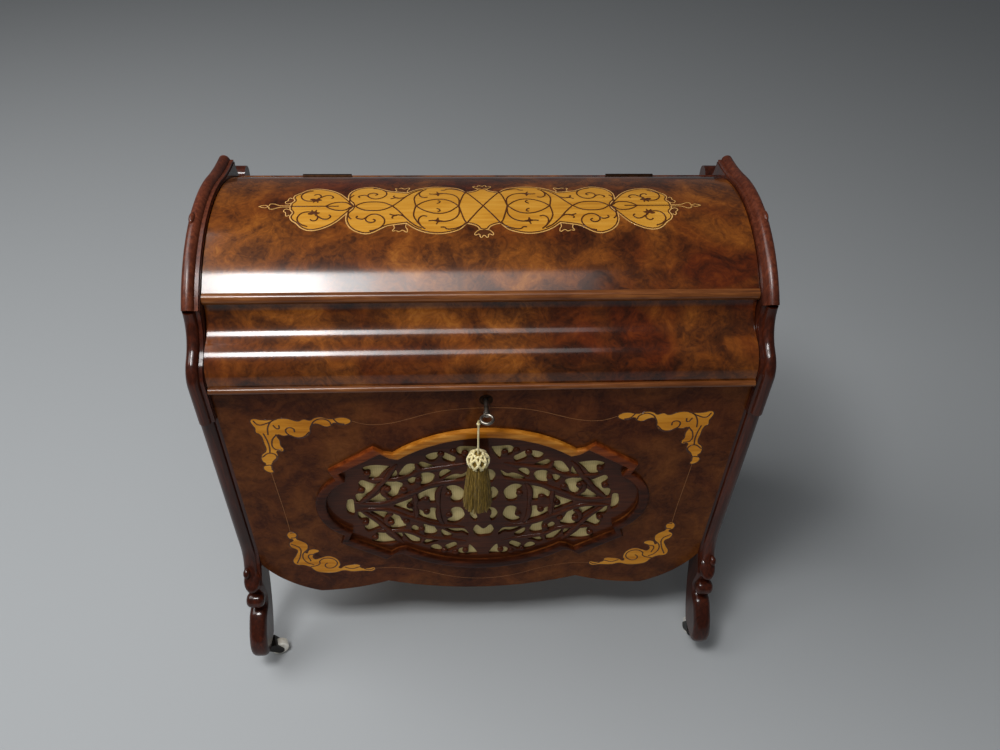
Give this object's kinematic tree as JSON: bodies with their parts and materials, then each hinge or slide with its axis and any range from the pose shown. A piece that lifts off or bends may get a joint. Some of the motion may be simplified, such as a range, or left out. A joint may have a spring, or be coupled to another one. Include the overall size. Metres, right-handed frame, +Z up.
{
  "type": "sheet-music box on castors",
  "caption": "Dome-topped walnut sheet-music box with shaped ends, scroll feet on castors, a rear-hinged barrel lid, a pierced silk-backed front, a lock with key and a hanging tassel.",
  "frame": {"origin": "centre of the outer box on the floor, under the castors", "axes": "+Z up; +X to the right of someone facing the pierced front; the front faces -Y"},
  "size_m": [0.6528, 0.4108, 0.646],
  "materials": {
    "burr_walnut": "french-polished burr veneer, glossy",
    "walnut_beading": "polished, glossy",
    "dark_walnut": "french-polished reddish dark walnut, very glossy",
    "front_veneer": "polished burr veneer with pale line inlay and marquetry",
    "fret_walnut": "pierced fret, satin",
    "silk": "plain woven silk, old-gold green",
    "softwood": "plain unpolished inside wood",
    "brass": "aged brass",
    "key_steel": "worn steel",
    "tassel_thread": "twisted gold and olive thread",
    "castor_iron": "blackened iron",
    "castor_ceramic": "white glazed ceramic"
  },
  "bodies": {
    "case": {"rear_rail": "burr_walnut", "cartouche_moulding": "walnut_beading", "left_end": "dark_walnut", "right_end": "dark_walnut", "left_crest_moulding": "dark_walnut", "left_shoulder_moulding": "dark_walnut", "left_leg_moulding": "dark_walnut", "right_crest_moulding": "dark_walnut", "right_shoulder_moulding": "dark_walnut", "right_leg_moulding": "dark_walnut", "front_left_foot": "dark_walnut", "front_right_foot": "dark_walnut", "rear_left_foot": "dark_walnut", "rear_right_foot": "dark_walnut", "front_panel": "front_veneer", "fret_panel": "fret_walnut", "silk_backing": "silk", "silk_slips": "softwood", "bottom_board": "softwood", "back_board": "softwood", "front_partition": "softwood", "rear_partition": "softwood", "left_partition_slips": "softwood", "right_partition_slips": "softwood", "glue_blocks": "softwood", "keyhole_plate": "brass", "case_hinge_leaves": "brass", "hinge_pins": "brass", "lock_case": "brass", "front_left_castor_plate": "castor_iron", "front_right_castor_plate": "castor_iron", "rear_left_castor_plate": "castor_iron", "rear_right_castor_plate": "castor_iron"},
    "lid": {"lid_barrel": "burr_walnut", "lid_lip": "walnut_beading", "lid_ogee": "burr_walnut", "lid_bead": "walnut_beading", "lid_left_cheek": "softwood", "lid_right_cheek": "softwood", "lid_hinge_leaves": "brass", "strike_plate": "brass"},
    "bolt": {"lock_bolt": "brass"},
    "key": {"key": "key_steel"},
    "tassel": {"tassel_cord": "tassel_thread", "tassel_head": "tassel_thread", "tassel_skirt": "tassel_thread"},
    "front_left_castor": {"front_left_castor_horn": "castor_iron", "front_left_castor_axle": "castor_iron"},
    "front_left_roller": {"front_left_castor_roller": "castor_ceramic"},
    "front_right_castor": {"front_right_castor_horn": "castor_iron", "front_right_castor_axle": "castor_iron"},
    "front_right_roller": {"front_right_castor_roller": "castor_ceramic"},
    "rear_left_castor": {"rear_left_castor_horn": "castor_iron", "rear_left_castor_axle": "castor_iron"},
    "rear_left_roller": {"rear_left_castor_roller": "castor_ceramic"},
    "rear_right_castor": {"rear_right_castor_horn": "castor_iron", "rear_right_castor_axle": "castor_iron"},
    "rear_right_roller": {"rear_right_castor_roller": "castor_ceramic"}
  },
  "joints": [
    {"name": "lid_hinge", "type": "hinge", "parent": "case", "child": "lid", "pos_m": [0, 0.13008, 0.60923], "axis": [-1, 0, 0], "range_deg": [0, 95]},
    {"name": "key_turn", "type": "hinge", "parent": "case", "child": "key", "pos_m": [0, -0.168, 0.476], "axis": [0, 1, 0], "range_deg": [0, 90]},
    {"name": "bolt_slide", "type": "slide", "parent": "case", "child": "bolt", "axis": [0, 0, 1], "range_m": [0, 0.0075]},
    {"name": "tassel_swing", "type": "hinge", "parent": "case", "child": "tassel", "pos_m": [-0.0095, -0.17079, 0.476], "axis": [0, 1, 0], "range_deg": [-20, 20]},
    {"name": "front_left_swivel", "type": "hinge", "parent": "case", "child": "front_left_castor", "pos_m": [-0.3144, -0.176, 0.031], "axis": [0, 0, 1], "continuous": true},
    {"name": "front_left_roll", "type": "hinge", "parent": "front_left_castor", "child": "front_left_roller", "pos_m": [-0.29728, -0.17044, 0.0125], "axis": [-0.309, 0.9511, 0], "continuous": true},
    {"name": "front_right_swivel", "type": "hinge", "parent": "case", "child": "front_right_castor", "pos_m": [0.3144, -0.176, 0.031], "axis": [0, 0, 1], "continuous": true},
    {"name": "front_right_roll", "type": "hinge", "parent": "front_right_castor", "child": "front_right_roller", "pos_m": [0.3144, -0.158, 0.0125], "axis": [-1, 0, 0], "continuous": true},
    {"name": "rear_left_swivel", "type": "hinge", "parent": "case", "child": "rear_left_castor", "pos_m": [-0.3144, 0.176, 0.031], "axis": [0, 0, 1], "continuous": true},
    {"name": "rear_left_roll", "type": "hinge", "parent": "rear_left_castor", "child": "rear_left_roller", "pos_m": [-0.2964, 0.176, 0.0125], "axis": [0, 1, 0], "continuous": true},
    {"name": "rear_right_swivel", "type": "hinge", "parent": "case", "child": "rear_right_castor", "pos_m": [0.3144, 0.176, 0.031], "axis": [0, 0, 1], "continuous": true},
    {"name": "rear_right_roll", "type": "hinge", "parent": "rear_right_castor", "child": "rear_right_roller", "pos_m": [0.2964, 0.176, 0.0125], "axis": [0, -1, 0], "continuous": true}
  ]
}
